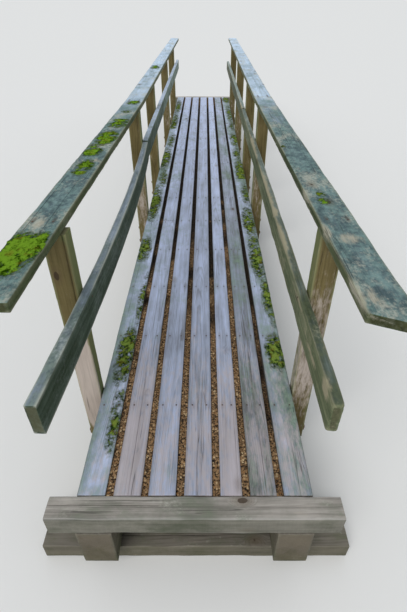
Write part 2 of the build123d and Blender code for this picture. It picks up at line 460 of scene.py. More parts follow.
class Given:
    """What a node gives by one of its outputs. Sums and mixes on it add nodes to the same tree."""

    def __init__(self, node, output=0):
        self.node = node
        self.socket = node.outputs[output]
        self.tree = node.id_data

    def each(self, *outputs):
        """What the same node gives by each of these outputs, or by every one."""
        return [Given(self.node, output) for output in outputs or self.node.outputs.keys()]

    def calc(self, operation, *others, clamped=False):
        """A maths node on this value and on others."""
        sockets = dict(enumerate([self, *others]))
        return put(self.tree, "Math", sockets, operation=operation, use_clamp=clamped)

    def __add__(self, other):
        return self.calc("ADD", other)

    def __sub__(self, other):
        return self.calc("SUBTRACT", other)

    def __mul__(self, other):
        return self.calc("MULTIPLY", other)

    def __rsub__(self, other):
        return -1.0 * self + other

    __radd__, __rmul__ = __add__, __mul__

    def most(self, other):
        """The larger of two values."""
        return self.calc("MAXIMUM", other)

    def kept(self):
        """The value kept between 0 and 1."""
        return self.calc("ADD", 0.0, clamped=True)

    def fade(self, low, high):
        """0 at low and 1 at high, with an s-shaped run between them; low may be the larger."""
        sockets = {"Value": self, "From Min": min(low, high), "From Max": max(low, high)}
        sockets |= {"To Min": 1.0, "To Max": 0.0} if low > high else {}
        return put(self.tree, "MapRange", sockets, interpolation_type="SMOOTHSTEP")

    def mix(self, first, second):
        """Two colours mixed by this share."""
        return blend(self.tree, self, first, second)

    def split(self):
        """The three coordinates of a place."""
        return put(self.tree, "SeparateXYZ", {0: self}).each()

    def bumps(self, strength, distance):
        """The normal of a surface with small relief of this height."""
        return put(self.tree, "Bump", {"Strength": strength, "Distance": distance, "Height": self})

    def move(self, operation, *amounts):
        """A place with its coordinates multiplied or moved."""
        return put(self.tree, "VectorMath", {0: self, 1: amounts}, operation=operation)

    def noise(self, scale, detail, roughness=0.5):
        """Noise with scale features a metre."""
        sockets = {"Vector": self, "Scale": scale, "Detail": detail, "Roughness": roughness}
        return put(self.tree, "TexNoise", sockets)

    def grained(self, along, across, detail=3.0, roughness=0.55):
        """Noise with that many features a metre along the board and across it."""
        return self.move("MULTIPLY", along, across, across).noise(1.0, detail, roughness)

    def cells(self, scale):
        """Round cells: the distance from the nearest one's middle, and two random values of it."""
        cell = put(self.tree, "TexVoronoi", {"Vector": self, "Scale": scale})
        away, chances = cell.each("Distance", "Color")
        return away, *put(self.tree, "SeparateColor", {0: chances}).each(0, 1)


def new_group(name, takes):
    """An empty shader group that takes values with these labels and kinds; returns it and them."""
    tree = bpy.data.node_groups.new(name, "ShaderNodeTree")
    for label, kind in takes.items():
        tree.interface.new_socket(name=label, in_out="INPUT", socket_type="NodeSocket" + kind)
    return tree, Given(tree.nodes.new("NodeGroupInput")).each(*takes)


def give(tree, values):
    """Give a shader group an output for each named value; returns the group."""
    for label in values:
        tree.interface.new_socket(name=label, in_out="OUTPUT", socket_type="NodeSocketFloat")
    fill(tree.nodes.new("NodeGroupOutput"), values)
    return tree


def make_grain_group():
    """Softwood seen on any face of a board: fine fibres, streaks, growth rings cut from a round log,
    sawing marks across the grain, drying checks, and knots that the rings bend round."""
    tree, (board, log) = new_group("softwood grain", {"Board": "Vector", "Log": "Vector"})
    fibre = board.grained(5.0, 300, 3.0, 0.65)
    streak = board.grained(1.4, 48, 4.0, 0.6)
    saw_marks = board.grained(210, 9, 2.0, 0.6)

    away, chance, _ = board.move("MULTIPLY", 5.0, 9.0, 9.0).cells(1.0)
    chosen = chance.fade(0.86, 0.865)
    away = away + 0.06 * board.grained(45, 60, 2.0)
    rim = chosen * away.fade(0.36, 0.13)

    across_log = log.move("MULTIPLY", 0.0, 1.0, 1.0)
    from_pith = put(tree, "VectorMath", {0: across_log}, output="Value", operation="LENGTH")
    from_pith = from_pith + 0.016 * board.grained(1.6, 14) + 0.014 * rim
    ring_gap = 0.0046
    ring = from_pith.calc("DIVIDE", ring_gap).calc("FRACT")
    late = ring.fade(0.35, 0.85) * ring.fade(1.0, 0.9) * board.grained(2.0, 12).fade(0.3, 0.65)

    line = (board.grained(0.8, 34, 2.0) - 0.5).calc("ABSOLUTE").fade(0.011, 0.002)
    checks = line * board.grained(1.1, 13, 2.0).fade(0.55, 0.63)
    return give(tree, {
        "Fibre": fibre, "Streak": streak, "Blotch": board.grained(3.0, 10, 4.0, 0.6), "Late wood": late,
        "Saw marks": saw_marks, "Checks": checks, "Knots": chosen * away.fade(0.145, 0.125),
        "Knot rim": rim, "Fray": board.grained(22, 70, 5.0, 0.65),
        "Height": 0.5 * fibre + 0.5 * streak + 0.3 * late + 0.25 * saw_marks - 0.9 * checks,
    })


def make_growth_group():
    """What lives on the timber: a patchy film of algae, pale crusts of lichen in mottled blotches,
    and moss where its amount beats a ragged threshold, with a tone of its own."""
    tree, (board, soil, moss_amount, crust_amount) = new_group("growth on timber", {
        "Board": "Vector", "Soil": "Float", "Moss amount": "Float", "Crust amount": "Float"})
    clouds = board.grained(8, 13, 5.0, 0.62)
    mottle = board.grained(30, 42, 5.0, 0.68)
    tufts = board.grained(300, 300, 3.0, 0.7)

    elsewhere = board.move("ADD", 0.31, 0.17, 0.53)
    speck = elsewhere.grained(60, 75, 5.0, 0.7)
    crust = crust_amount + 0.9 * elsewhere.grained(5, 9, 3.0, 0.5) + 0.75 * speck - 0.85
    crust = crust.fade(0.16, 0.42)

    level = moss_amount + 1.5 * board.grained(55, 60, 4.0, 0.65) + 0.4 * tufts - 0.97
    rooted = moss_amount.fade(0.02, 0.15)
    moss = rooted * level.fade(0.18, 0.5)
    depth = level.calc("MINIMUM", 0.9)
    return give(tree, {
        "Film": (soil + clouds + 0.45 * mottle - 0.72).fade(0.12, 0.72),
        "Film tone": (0.6 * mottle + 0.4 * clouds).fade(0.37, 0.63), "Crust": crust, "Moss": moss,
        "Moss tone": (0.5 * tufts + 1.1 * mottle + 0.3 * depth).fade(0.86, 1.12),
        "Moss brown": elsewhere.grained(30, 26, 4.0, 0.6).fade(0.52, 0.66),
        "Stain": rooted * level.fade(-0.15, 0.36), "Height": moss * (tufts + 0.4) + 0.12 * crust,
    })


grain_group = make_grain_group()
growth_group = make_growth_group()


def new_material(name):
    """A new material; returns it with its node tree and its shader."""
    material = bpy.data.materials.new(name)
    material.use_nodes = True
    return material, material.node_tree, material.node_tree.nodes["Principled BSDF"]


def timber_material(name, dark, light, side_dark, side_light, under, film, film_light, arris,
                    side_film=(50, 62, 42), crust=(176, 176, 166), crust_amount=0.0,
                    bare=(176, 158, 132), bare_amount=0.0, arris_wear=0.4, end_dark=(70, 66, 52),
                    end_light=(138, 130, 108), saw=0.3, rusting=0.6, moss_dark=(26, 52, 0),
                    moss_light=(110, 148, 40), sheen=0.25, roughness=0.55, side_shade=0.3,
                    film_streaks=1.0):
    """Weathered softwood. Upward faces run from dark to light by fibre, streak, ring and blotch, and
    the sides and the underside have tones of their own, of which side_shade of the timber's shade
    shows. The shade holds the timber's own tone and painted light: a painted sky reflection on far
    timbers and painted shade on far posts, and side_shade paints light or shade on the sides. Over
    that lie end grain, a film of algae, streaked on the sides by film_streaks, bare patches, some of
    them painted sunlight, pale crusts, worn arrises, knots, rust round the nails, moss and cracks.
    Algae and moss dull the timber's sheen, and arrises show less where the shade, mostly painted
    reflection, makes a timber pale."""
    material, tree, shader = new_material(name)
    board, log, marks, state, nails = (
        put(tree, "Attribute", {}, output="Vector", attribute_name=label)
        for label in ("board", "log", "marks", "state", "nails")
    )
    moss_amount, near_arris, crack = marks.split()
    soil, bare_and_sunlit_spots, shade = state.split()
    nail_along, nail_across, end_grain = nails.split()
    facing_up = put(tree, "NewGeometry", {}, output="Normal").split()[2]
    upward = facing_up.fade(0.3, 0.75)
    grain = put(tree, "Group", {"Board": board, "Log": log}, node_tree=grain_group)
    fibre, streak, blotch, late, saw_marks, checks, knots, knot_rim, fray, ridges = grain.each()
    sockets = {"Board": board, "Soil": soil, "Moss amount": moss_amount, "Crust amount": crust_amount}
    growth = put(tree, "Group", sockets, node_tree=growth_group)
    algae, algae_tone, crusted, mossy, moss_tone, moss_brown, stain, lumps = growth.each()

    # bare timber: from dark to light by what the grain does there
    tone = 0.6 * fibre + 0.75 * streak + 0.95 * blotch - 0.22 * late + shade - 0.62
    # side_shade of the shade shows on the sides: painted light or painted shade on inner sides
    side_tone = tone + saw * saw_marks - 0.5 * saw * upward + (side_shade - 1) * shade
    side = (side_tone - 0.1).kept().mix(side_dark, side_light)
    colour = upward.mix(side, tone.kept().mix(dark, light))
    colour = facing_up.fade(-0.3, -0.75).mix(colour, blend(tree, 0.3, under, side))
    end_tone = 0.45 - 0.4 * late + 0.3 * blotch
    colour = (0.85 * end_grain).mix(colour, end_tone.mix(end_dark, end_light))

    # growth and wear
    paler = film_streaks * (0.16 * algae_tone + 0.22 * streak.fade(0.42, 0.62))
    film_colour = upward.mix(paler.mix(side_film, side_light), algae_tone.mix(film, film_light))
    colour = (algae * (0.86 - 0.5 * end_grain)).mix(colour, film_colour)
    # bare patches, some of them painted sunlight
    bare_and_sunlit_share = (bare_and_sunlit_spots + 0.9 * blotch + 1.2 * fray + (bare_amount - 1.17)).fade(0.05, 0.6)
    colour = (0.85 * bare_and_sunlit_share).mix(colour, tone.mix(blend(tree, 0.4, bare, side_dark), bare))
    colour = (crusted * (0.12 + 0.6 * upward)).mix(colour, crust)
    # arrises show less where shade lightens a timber, as the painted sky reflection does far off
    worn = near_arris * blotch.fade(0.3, 0.5) * (1.0 - shade).kept()
    colour = (arris_wear * worn).mix(colour, arris)
    colour = (0.4 * knot_rim).mix(colour, (88, 72, 52))
    colour = (0.8 * knots).mix(colour, (58, 44, 32))

    # rust runs along the grain from each nail
    squared = 0.1 * (nail_along * nail_along) + nail_across * nail_across
    from_nail = squared.calc("POWER", 0.5) + 0.012 * streak + 0.008 * fibre
    colour = (rusting * from_nail.fade(0.024, 0.011)).mix(colour, (66, 54, 46))

    # moss on its damp stain, and cracks wherever no moss covers them
    colour = (0.75 * stain).mix(colour, (46, 64, 28))
    moss = (0.38 * moss_brown).mix(moss_tone.mix(moss_dark, moss_light), (118, 96, 36))
    colour = mossy.mix(colour, moss)
    mossless = 1.0 - mossy
    split = (0.7 * checks).most(crack) * mossless
    colour = (0.85 * split.kept()).mix(colour, (34, 31, 28))

    dull = (0.6 * algae).most(mossy)
    fill(shader, {
        "Base Color": colour, "Roughness": (roughness + 0.22 * fibre + 0.1 * algae).most(mossy),
        "Specular IOR Level": sheen - sheen * dull,
        "Normal": (ridges * mossless + 2.4 * lumps).bumps(0.6, 0.0016),
    })
    return material


def dress(piece, material):
    """Give a piece its finish, and fix it to the bridge."""
    piece.data.materials.append(material)
    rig.ride(piece, "root")


def stand_in(piece, node, slot, material):
    """Give a timber its finish, and let it stand for its CAD node."""
    dress(piece, material)
    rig.replaces(piece, node)
    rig.slot(piece, slot)


def lay(node, axis, slot, material, label="timber", inset=0.0, ends=None, **shape):
    """A squared timber in its CAD node's box. It lies across the bridge (axis 0) or along it (1), or
    stands up (2), and fills the box but for inset at both ends, or runs between ends of its own."""
    low, high = np.array(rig.box(node), float)
    start, stop = (low + high) / 2, (low + high) / 2
    start[axis], stop[axis] = ends or (low[axis] + inset, high[axis] - inset)
    width, depth = np.delete(high - low, axis)
    up = (0, -1, 0) if axis == 2 else (0, 0, 1)
    stand_in(timber(f"{node}_{label}", start, stop, width, depth, up, **shape), node, slot, material)


def low_damp(along, across, height):
    """Algae on a timber's sides, thicker towards its lower arris."""
    return np.clip(0.32 - 1.6 * height, 0.05, 0.6)


damp_timber = timber_material(
    "damp_beam_timber", (72, 68, 60), (132, 126, 116), (64, 60, 48), (116, 110, 94), (56, 50, 42),
    film=(56, 66, 44), film_light=(84, 94, 66), side_film=(58, 66, 42), crust_amount=0.05,
    arris=(130, 124, 110), arris_wear=0.3, end_dark=(58, 50, 40), end_light=(116, 106, 88), sheen=0.4,
)
# the rough ends of seats and beams stay inside the CAD box
END_INSET = 0.0002
for end in ("near", "far"):
    lay(f"{end}_bank_seat", 0, "beam_timber", damp_timber, inset=END_INSET, seed=11 + len(end),
        grime=low_damp, spacing=0.009, arris=0.006, ridge=0.0007, crack_count=5)


# Main beams: two deep sawn timbers on edge from bank to bank, flush with the sides of the bridge.
# They are damp-stained softwood under the deck's shelter. The posts are bolted to their outer faces.
for side in ("left", "right"):
    lay(f"{side}_main_beam", 1, "beam_timber", damp_timber, inset=END_INSET, seed=21 + len(side),
        grime=low_damp, spacing=0.012, step=0.07, arris=0.004, ridge=0.0006)


# Cross bearers: short squared timbers over both main beams, one every half metre or so. The deck
# planks are nailed down to them. Dark, damp softwood that shows only through the gaps.
bearers = sorted(name for name in frame["nodes"] if name.startswith("cross_bearer"))
for number, name in enumerate(bearers):
    lay(name, 0, "beam_timber", damp_timber, seed=31 + 13 * number, grime=low_damp, spacing=0.014,
        step=0.06, ridge=0.0006, crack_count=1)


# End beams: one squared timber across each end, level with the deck. The planks butt against it,
# and feet have rounded its upper edges. The near one is grey, the far one paler by a painted
# reflection of the sky.
end_beam_timber = timber_material(
    "end_beam_timber", (94, 90, 84), (190, 184, 178), (80, 78, 70), (140, 137, 126), (58, 52, 44),
    film=(70, 78, 66), film_light=(108, 116, 100), crust_amount=0.1, bare=(176, 168, 156),
    bare_amount=0.05, arris=(170, 170, 168),
)
# how green and how light each end beam is; the far one's lightness is a painted sky reflection
for end, green, shade in (("near", 0.3, 0.02), ("far", -0.1, 0.5)):
    lay(f"{end}_end_beam", 0, "beam_timber", end_beam_timber, seed=241 + len(end), spacing=0.007,
        arris=0.009, ridge=0.0007, crack_count=3, shade=shade,
        grime=lambda along, across, height, green=green: green + 0.2 * drift(along / 0.3, across / 0.1, 5))


# Deck planks: seven lanes of lengthwise softwood boards, each nailed twice to every bearer, with
# gaps between them. Rain and feet have left them lavender grey, and the outer lanes mossy and
# green. Towards the far end they grow lighter and bluer by a painted reflection of the sky.
# its blue-white light end lets the painted sky reflection pale the far planks
deck_timber = timber_material(
    "deck_plank_timber", (92, 94, 97), (198, 212, 247), (50, 48, 45), (96, 94, 90), (66, 60, 50),
    film=(68, 88, 70), film_light=(120, 142, 122), side_film=(48, 54, 42), crust=(190, 190, 186),
    bare=(190, 180, 184), bare_amount=0.04, arris=(84, 82, 78), arris_wear=0.45, saw=0.1, rusting=0.22,
    moss_dark=(14, 34, 12), moss_light=(118, 140, 62), sheen=0.5, roughness=0.42,
)
# how green each lane is, from the left, and how light it is beside the others; lane 6 is darker
# partly by painted shade
LANE_SOIL = (0.44, 0.2, 0.08, 0.06, 0.12, 0.3, 0.5)
LANE_SHADE = (0.08, -0.07, -0.07, -0.12, -0.02, -0.37, -0.06)
# the far planks are lighter and bluer by this painted sky reflection for each metre from the near end
PAINTED_SHEEN_A_METRE = 0.074
# trodden soil has worn the planks' near ends pinkish, and how much on each lane; the pale pink is
# partly painted sunlight
LANE_WEAR_AND_SUNLIGHT = (0.2, 0.75, 0.4, 0.55, 0.75, 0.5, 0.4)
# moss on the two outer lanes: middle and half length from the near end in metres, middle and half
# width as shares of the half width, strength
LANE_MOSS = {
    1: [(0.93, 0.22, 0.3, 0.9, 1.15), (0.5, 0.2, 0.6, 0.6, 0.6), (1.5, 0.3, 0.8, 0.5, 0.5),
        (2.15, 0.2, -0.4, 1.0, 0.75), (3.1, 0.42, -0.4, 1.0, 0.85), (3.75, 0.3, 0.2, 0.9, 0.5),
        (4.45, 0.42, -0.3, 1.0, 0.8), (5.2, 0.4, 0.1, 0.9, 0.5), (6.2, 0.6, -0.3, 1.0, 0.62),
        (7.3, 0.6, -0.2, 1.0, 0.6)],
    7: [(0.95, 0.16, 0.4, 1.0, 0.95), (1.5, 0.3, 0.7, 0.7, 0.6), (2.05, 0.35, 0.3, 0.9, 0.85),
        (2.65, 0.3, 0.2, 1.0, 0.85), (3.3, 0.3, 0.5, 0.8, 0.55), (3.95, 0.45, 0.4, 1.0, 0.8),
        (4.6, 0.3, 0.3, 0.9, 0.5), (5.25, 0.35, 0.4, 1.0, 0.7), (6.0, 0.3, 0.5, 0.8, 0.5),
        (6.8, 0.6, 0.4, 1.0, 0.62), (7.9, 0.25, 0.3, 1.2, 1.0)],
}
NAIL_INSET = 0.024
# a bearer is nailed to a board only where it lies farther than this from both its ends
NAILED_BEYOND = 0.02
# a board that starts or stops within this of the bridge's ends butts against an end beam
END_BEAM_REACH = 0.2


def corners_of(node):
    """The corners of a CAD node's solids."""
    return np.array([corner.co for corner in frame["nodes"][node].data.vertices])


def solid_runs(node):
    """Where each separate board of a lane starts and stops along the bridge: the node's corners in
    order along it, with a board ending at each short step of a joint's gap."""
    places = np.unique(np.round(corners_of(node)[:, 1], 4))
    return list(zip(places[0::2], places[1::2]))


def middle_along(node):
    """Where a CAD node's middle lies along the bridge."""
    low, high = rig.box(node)
    return (low.y + high.y) / 2


deck_nail_places = []
for lane in range(1, 8):
    node = f"deck_lane_{lane}"
    low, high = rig.box(node)
    middle_x, nail_across = (low.x + high.x) / 2, (high.x - low.x) / 2 - NAIL_INSET
    mossy = [(near_end + along, *patch) for along, *patch in LANE_MOSS.get(lane, ())]

    def lane_soil(along, across, height, lane=lane):
        """Algae on a lane, in drifts along it and thicker at the bridge's sides."""
        outward = {1: -1, 7: 1}.get(lane, 0) * across / 0.06
        drifts = drift(along / 0.45, across / 0.12 + lane * 9.3, 77)
        return LANE_SOIL[lane - 1] + 0.14 * outward + 0.16 * drifts

    for number, (start_y, stop_y) in enumerate(solid_runs(node)):
        rows = [y for y in map(middle_along, bearers)
                if start_y + NAILED_BEYOND < y < stop_y - NAILED_BEYOND]
        rows += [start_y + NAIL_INSET] if start_y > near_end + END_BEAM_REACH else []
        rows += [stop_y - NAIL_INSET] if stop_y < far_end - END_BEAM_REACH else []
        # shade is each lane's tone with painted light, and grows along by the painted sky reflection
        lay(node, 1, "deck_timber", deck_timber, label=f"plank_{number + 1}", ends=(start_y, stop_y),
            seed=307 + 41 * lane + 7 * number, grime=lane_soil, spacing=0.006, arris=0.004, ridge=0.0005,
            mossy=[patch for patch in mossy if start_y < patch[0] < stop_y],
            bare=[(near_end + 0.3, 1.1, 0.0, 0.02, 0.4, LANE_WEAR_AND_SUNLIGHT[lane - 1])],
            shade=LANE_SHADE[lane - 1] + PAINTED_SHEEN_A_METRE * (start_y - near_end), paling=PAINTED_SHEEN_A_METRE,
            nail_rows=rows, nail_columns=(-nail_across, nail_across))
        deck_nail_places += [(middle_x + side * nail_across, y, high.z) for y in rows for side in (-1, 1)]


# Deck nails: round wire nails driven flush with the planks, two at every bearer. They are rusted
# dark, and rain has drawn a grey-brown stain along the grain from each.
def turned_heads(name, places, outward, profile, sides, material):
    """Many like heads in one mesh: a profile of (radius, height) points turned about the outward
    direction at every place, closed by a point at each end."""
    outward = np.array(outward, float)
    first = np.cross(outward, (0.3, 0.9, 0.2))
    first /= np.linalg.norm(first)
    second = np.cross(outward, first)
    turn = np.linspace(0, 2 * math.pi, sides, endpoint=False)[None, :, None]
    radius, rise = np.array(profile).T[:, :, None, None]
    head = (first * np.cos(turn) + second * np.sin(turn)) * radius + outward * rise
    head = np.concatenate([head.reshape(-1, 3), [outward * profile[0][1], outward * profile[-1][1]]])
    points = (np.array(places)[:, None, :] + head).reshape(-1, 3)
    shift = np.arange(len(places))[:, None, None] * len(head)
    faces = (band_faces(len(profile), sides), *pole_faces(len(profile), sides))
    faces = [(shift + part).reshape(-1, part.shape[1]) for part in faces]
    dress(smooth_piece(name, points, *faces), material)


def rusty_iron(name, dark, light, metallic):
    """Iron with a skin of rust: two browns in blotches, rougher where the rust is thick."""
    material, tree, shader = new_material(name)
    blotch = put(tree, "TexCoord", {}, output="Object").noise(160.0, 5.0)
    share = blotch.fade(0.35, 0.65)
    fill(shader, {
        "Base Color": share.mix(dark, light), "Metallic": metallic, "Roughness": 0.55 + 0.3 * share,
        "Normal": blotch.bumps(0.5, 0.0006),
    })
    return material


nail_iron = rusty_iron("rusted_nail_iron", (44, 38, 36), (96, 74, 60), 0.3)
NAIL_PROFILE = ((0.0022, -0.006), (0.0042, -0.0022), (0.0045, -0.0014), (0.0038, -0.0006), (0.002, -0.0003))
turned_heads("deck_nails", deck_nail_places, (0, 0, 1), NAIL_PROFILE, 8, nail_iron)


# Packed dirt: crumbs of soil and rotted wood wedged in the gaps between the lanes. It lies a little
# below the tread over the banks. Along the middle of the span it lies low between the planks' sides
# as a near black sheet of painted shade that darkens the gaps.
def dirt_and_shade_finish():
    """Crumbs from dark to light brown by noise of their size, with pale bits of two tones among
    them, rough and lumpy, and painted nearly black as shade where the ribbon lies low."""
    material, tree, shader = new_material("packed_dirt")
    place = put(tree, "TexCoord", {}, output="Object")
    crumbs = place.noise(110.0, 4.0, 0.7)
    away, chance, bit_tone = place.cells(85.0)
    pale = chance.fade(0.48, 0.53) * away.fade(0.5, 0.35)
    deep = put(tree, "Attribute", {}, output="Fac", attribute_name="deep")
    colour = crumbs.fade(0.4, 0.6).mix((30, 24, 19), (146, 116, 84))
    colour = (0.8 * pale).mix(colour, bit_tone.mix((138, 96, 54), (206, 182, 144)))
    # near black painted shade where the ribbon lies low between the planks
    colour = (0.9 * deep).mix(colour, (10, 11, 12))
    fill(shader, {
        "Base Color": colour, "Roughness": 0.95, "Specular IOR Level": 0.2,
        "Normal": (crumbs + 0.5 * pale).bumps(0.8, 0.003),
    })
    return material


packed_dirt = dirt_and_shade_finish()
# how high the dirt lies beside the tread over the banks, how low the sheet of painted shade lies
# along the span, and how far the dirt reaches: from the near end in each gap, and from the far
# end in all
DIRT_HIGH, SHADE_SHEET_LOW = -0.012, -0.034
DIRT_REACH = (1.8, 2.2, 1.7, 1.7, 2.4, 0.9)
FAR_DIRT_REACH = 0.9
DIRT_TUCKED_UNDER = 0.002


def dirt_and_shade_ribbon(name, left_x, right_x, start_y, stop_y, reach_y, seed):
    """A lumpy ribbon wedged in a gap, its height a function of two parameters, along and across:
    noise of two sizes on a level that falls in patches around reach_y, lies low between the planks
    beyond it as a dark sheet of painted shade, and rises again over the far bank. A flat underside
    closes it. Each stretch holds deep, the share of near black painted shade it takes."""
    along = np.linspace(start_y, stop_y, round((stop_y - start_y) / 0.009))[:, None]
    across = np.linspace(left_x, right_x, 7)[None, :]
    patchy = 0.5 + 0.8 * drift(along / 0.11, 0, seed + 3)
    near_bank = np.clip((reach_y - along) / 1.2 + patchy, 0, 1)
    far_bank = 0.6 * np.clip((along - stop_y + FAR_DIRT_REACH) / 0.5, 0, 1)
    on_bank = np.maximum(near_bank, far_bank)
    lump = (0.004 * drift(along / 0.03, across / 0.016, seed)
            + 0.0025 * drift(along / 0.011, across / 0.009, seed + 1))
    hollow = 0.007 * drift(along / 0.22, 0.5, seed + 2)
    top = deck_top + (SHADE_SHEET_LOW + (DIRT_HIGH - SHADE_SHEET_LOW) * on_bank) + lump + hollow
    upper = np.stack(np.broadcast_arrays(across, along, top), -1)
    under = np.minimum(top.min(1, keepdims=True) - 0.003, deck_top + SHADE_SHEET_LOW - 0.004)
    lower = np.stack(np.broadcast_arrays(across[:, [-1, 0]], along, under), -1)
    loop = np.concatenate([upper, lower], 1)
    rows, around = loop.shape[:2]
    ring = np.arange(around)[None, :]
    ends = (ring[:, ::-1], ring + (rows - 1) * around)
    piece = smooth_piece(name, loop.reshape(-1, 3), band_faces(rows, around), *ends)
    # how much of the near black painted shade each stretch takes: all where it lies low
    deep = np.repeat(1 - on_bank[:, 0], around).astype(np.float32)
    piece.data.attributes.new("deep", "FLOAT", "POINT").data.foreach_set("value", deep)
    dress(piece, packed_dirt)


end_beam_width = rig.box("near_end_beam")[1].y - near_end
for gap, reach in enumerate(DIRT_REACH, start=1):
    left_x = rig.box(f"deck_lane_{gap}")[1].x - DIRT_TUCKED_UNDER
    right_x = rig.box(f"deck_lane_{gap + 1}")[0].x + DIRT_TUCKED_UNDER
    dirt_and_shade_ribbon(f"gap_dirt_and_shade_{gap}", left_x, right_x, near_end + end_beam_width, far_end - end_beam_width,
                near_end + reach, 501 + 3 * gap)


# Posts: squared softwood uprights bolted to the main beams' outer faces, with bevelled feet. Their
# near faces are tan to olive brown, their inner faces paler olive green, and the foot of the
# nearest is bleached nearly white; on the nearest left post that white is partly painted sunlight.
# Each farther post is darker by painted shade.
post_timber = timber_material(
    "post_timber", (96, 88, 58), (150, 138, 104), (74, 64, 34), (136, 122, 80), (70, 62, 48),
    film=(84, 94, 54), film_light=(122, 130, 88), side_film=(98, 112, 76), crust_amount=0.04,
    crust=(150, 154, 122), bare=(214, 200, 192), arris=(160, 154, 118), arris_wear=0.5, saw=0.15, sheen=0.2,
)
# bleached stretch of each post, partly painted sunlight on the nearest left one: its middle
# above the deck, half its length, how far in front of the post's own middle its centre lies, its
# radius and its strength
POST_BLEACH_AND_SUNLIGHT = {
    "left_post_1": (0.08, 0.5, 0.1, 0.1, 8.0), "right_post_1": (0.2, 0.6, 0.03, 0.16, 0.8),
    "left_post_2": (0.1, 0.5, 0.06, 0.12, 0.6), "right_post_2": (0.1, 0.5, 0.03, 0.16, 0.35),
}


def post_soil(along, across, height):
    """Algae on a post: thick on the faces towards and away from the walkway, thin on the others, and
    thicker under the cap."""
    under_cap = np.clip((along - 1.2) / 0.18, 0, 1)
    side_face = np.clip(1 - (0.05 - np.abs(across)) / 0.012, 0, 1)
    return 0.14 + 0.3 * under_cap + 0.6 * side_face + 0.2 * drift(along / 0.16, across / 0.05, 91)


posts = sorted(name for name in frame["nodes"] if "_post_" in name)
LEAST_BLEACHED = (0.05, 0.4, 0.03, 0.16, 0.25)
# each farther post is darker by this much painted shade
PAINTED_SHADE_EACH_POST = 0.06
for number, name in enumerate(posts):
    level, half_length, front, radius, strength = POST_BLEACH_AND_SUNLIGHT.get(name, LEAST_BLEACHED)
    lay(name, 2, "post_timber", post_timber, seed=701 + 17 * number, grime=post_soil, spacing=0.006,
        arris=0.004, ridge=0.0005, shade=-PAINTED_SHADE_EACH_POST * int(name[-1]),
        bare=[(deck_top + level, half_length, 0.0, front, radius, strength)])


# Post bolts: two coach bolts through each post into its main beam, with a domed head on a broad
# washer, and a nut on a washer at the beam's inner face. All are rusted iron.
bolt_iron = rusty_iron("rusted_bolt_iron", (58, 44, 36), (124, 88, 60), 0.5)
WASHER_PROFILE = ((0.021, -0.002), (0.022, 0.0), (0.022, 0.0026), (0.0205, 0.003), (0.004, 0.003))
DOME_PROFILE = ((0.013, 0.002), (0.0135, 0.004), (0.0115, 0.0075), (0.0075, 0.0098), (0.003, 0.0108))
NUT_PROFILE = ((0.0105, 0.002), (0.0112, 0.0045), (0.0112, 0.011), (0.0095, 0.0125), (0.006, 0.0125))
STUB_PROFILE = ((0.0058, 0.01), (0.006, 0.014), (0.006, 0.018), (0.005, 0.0195), (0.002, 0.0197))
# each of a post's bolts: its height as a share of the beam's depth, and its shift along the bridge
BOLT_PLACES = ((0.26, -0.012), (0.76, 0.012))
for side, sign in (("left", -1), ("right", 1)):
    low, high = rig.box(f"{side}_main_beam")
    inner_face = high.x if sign < 0 else low.x
    heads, nuts = [], []
    for name in (name for name in posts if name.startswith(side)):
        outer_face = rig.box(name)[0].x if sign < 0 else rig.box(name)[1].x
        for share, shift in BOLT_PLACES:
            y, z = middle_along(name) + shift, low.z + share * (high.z - low.z)
            heads.append((outer_face, y, z))
            nuts.append((inner_face, y, z))
    for label, places, outward, profile, sides in (
            ("bolt_washers", heads, sign, WASHER_PROFILE, 20), ("bolt_heads", heads, sign, DOME_PROFILE, 18),
            ("nut_washers", nuts, -sign, WASHER_PROFILE, 20), ("bolt_nuts", nuts, -sign, NUT_PROFILE, 6),
            ("bolt_ends", nuts, -sign, STUB_PROFILE, 12)):
        turned_heads(f"{side}_{label}", places, (outward, 0, 0), profile, sides, bolt_iron)


# Cap rails: flat softwood boards nailed down onto the post heads, two to a side, with eased upper
# edges. The near ones are dark blue green in blotches, with pale crusts and pale patches of painted
# sunlight; the far ones are paler grey by a painted reflection of the sky.
# Moss grows thickly on the near left one.
# the light end of the tops lets the painted sky reflection pale the far boards, and side_shade of -0.6 paints shade on
# their inner sides
cap_timber = timber_material(
    "cap_rail_timber", (98, 114, 120), (198, 220, 244), (58, 68, 42), (112, 120, 86), (66, 62, 48),
    film=(32, 56, 54), film_light=(104, 132, 126), side_film=(42, 54, 30), crust_amount=0.2,
    crust=(176, 178, 166), bare=(184, 178, 162), arris=(156, 156, 132), arris_wear=0.6,
    end_dark=(28, 27, 14), end_light=(74, 70, 46), saw=0.15, side_shade=-0.6,
)
# painted light: the far boards lighter by this shade, and all boards lighter along by a painted sky reflection
CAP_SHADE = {"near": -0.06, "far": 0.18}
CAP_PAINTED_SHEEN_A_METRE = 0.06
# the tops are worn down and the far ends drawn in, so that moss and yaw stay inside the CAD box
CAP_WORN_DOWN = 0.0037
CAP_YAW_ALLOWANCE = 0.001
